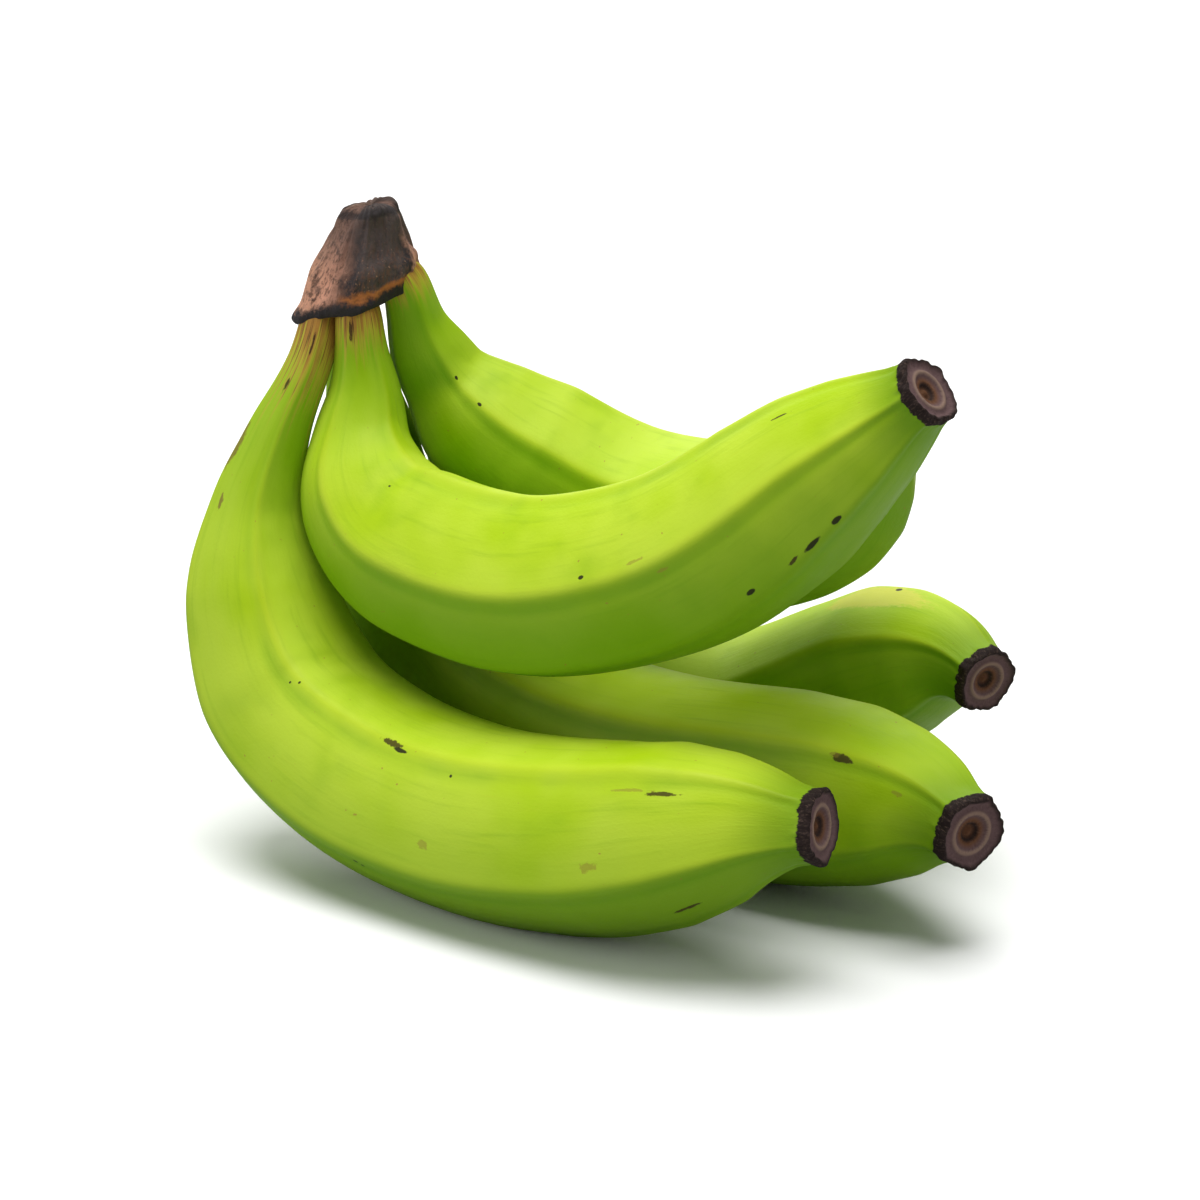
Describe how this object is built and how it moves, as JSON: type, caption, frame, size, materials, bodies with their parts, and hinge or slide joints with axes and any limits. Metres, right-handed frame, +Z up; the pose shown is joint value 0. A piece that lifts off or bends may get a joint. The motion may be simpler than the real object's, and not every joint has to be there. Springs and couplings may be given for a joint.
{
  "type": "bunch of green bananas",
  "caption": "Hand of unripe green bananas joined at a dried brown crown, lying on its outer fruit, with the tips pointing forward and up.",
  "frame": {"origin": "on the table, under the centre of the bunch's outline as seen from above", "axes": "+X the way the tips point, +Y across the hand from the near to the far fruit, +Z up"},
  "size_m": [0.1716, 0.1262, 0.1315],
  "materials": {
    "green_peel": "waxy satin peel, green with lighter ridges",
    "dried_crown": "dry, fibrous and matt"
  },
  "bodies": {
    "root": {"crown": "dried_crown", "banana_outer_near": "green_peel", "banana_outer_middle": "green_peel", "banana_outer_far": "green_peel", "banana_inner_near": "green_peel", "banana_inner_far": "green_peel"}
  },
  "joints": []
}
